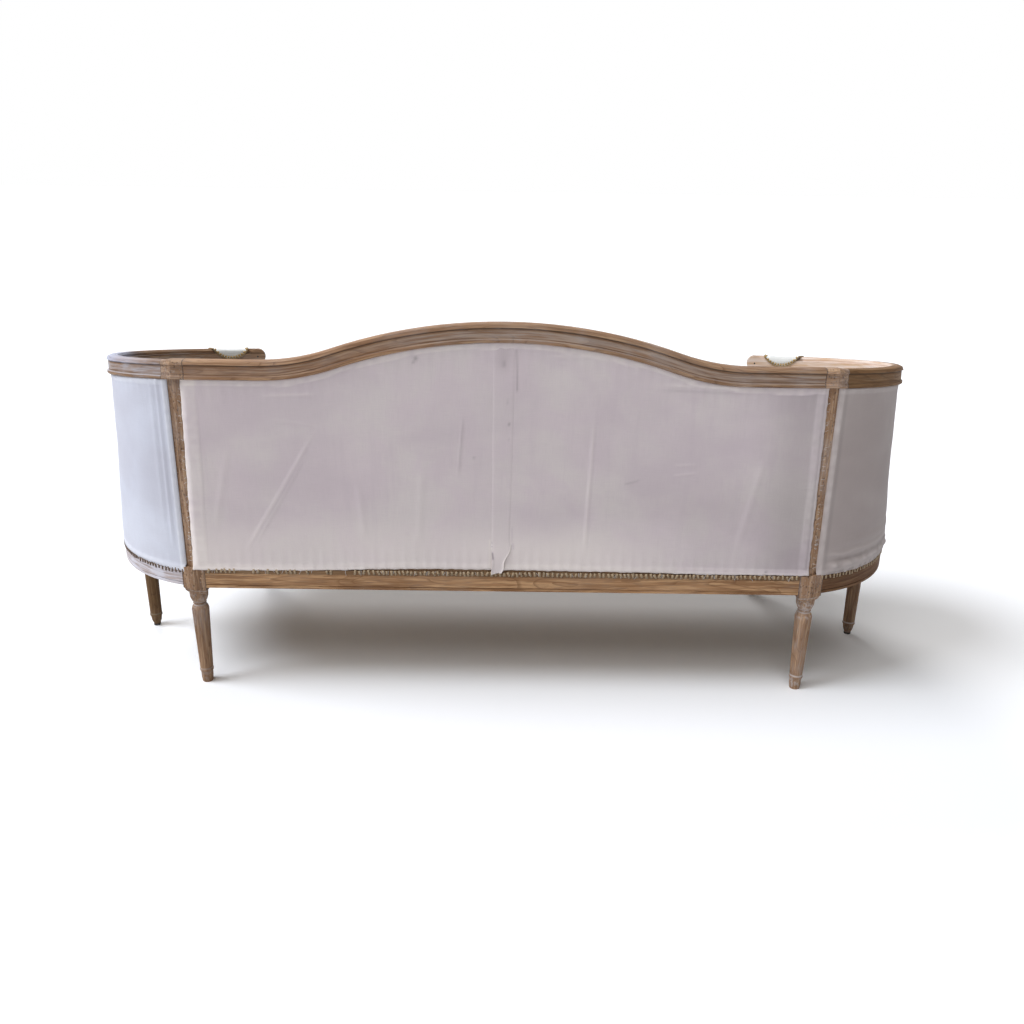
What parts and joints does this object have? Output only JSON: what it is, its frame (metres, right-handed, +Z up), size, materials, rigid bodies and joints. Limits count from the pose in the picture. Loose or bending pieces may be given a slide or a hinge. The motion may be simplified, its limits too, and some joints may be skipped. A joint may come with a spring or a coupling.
{
  "type": "tub sofa",
  "caption": "Show-wood tub sofa with a camelback crest, half-round ends that return as padded arms, turned legs, a tight upholstered seat and thin stapled cloth over the outside of the back.",
  "frame": {"origin": "on the floor, under the middle of the sofa's bounding box", "axes": "+Z up, +Y out of the back, -Y out of the open front, +X to the sitter's left"},
  "size_m": [2.0558, 0.695, 0.925],
  "materials": {
    "show_wood": "weathered oak, limed in the recesses, matt",
    "frame_wood": "plain sawn hardwood, unfinished",
    "glide": "dark nail-on glide",
    "webbing": "woven jute webbing",
    "hessian": "open-weave hessian",
    "cover": "white linen cover, matt",
    "calico": "thin off-white calico, matt"
  },
  "bodies": {
    "root": {"crest_rail": "show_wood", "corner_rail_left": "show_wood", "corner_rail_right": "show_wood", "arm_left": "show_wood", "arm_right": "show_wood", "rear_post_left": "show_wood", "rear_post_right": "show_wood", "end_post_left": "show_wood", "end_post_right": "show_wood", "front_leg_left": "show_wood", "front_leg_right": "show_wood", "arm_support_left": "show_wood", "arm_support_right": "show_wood", "back_seat_rail": "show_wood", "front_seat_rail": "show_wood", "rear_side_rail_left": "show_wood", "rear_side_rail_right": "show_wood", "front_side_rail_left": "show_wood", "front_side_rail_right": "show_wood", "back_stile": "frame_wood", "back_stay_left": "frame_wood", "back_stay_right": "frame_wood", "rear_end_stay_left": "frame_wood", "rear_end_stay_right": "frame_wood", "front_end_stay_left": "frame_wood", "front_end_stay_right": "frame_wood", "cross_rail_left": "frame_wood", "cross_rail_right": "frame_wood", "joint_pegs": "frame_wood", "foot_glides": "glide", "seat_webbing_cross": "webbing", "seat_webbing_long": "webbing", "back_webbing": "webbing", "seat_hessian": "hessian", "back_hessian": "hessian", "inside_back_pad": "cover", "inside_end_pad_left": "cover", "inside_end_pad_right": "cover", "seat_pad": "cover", "seat_front_band": "cover", "arm_pad_left": "cover", "arm_pad_right": "cover", "outer_back_cloth": "calico", "outer_end_cloth_left": "calico", "outer_end_cloth_right": "calico"}
  },
  "joints": []
}
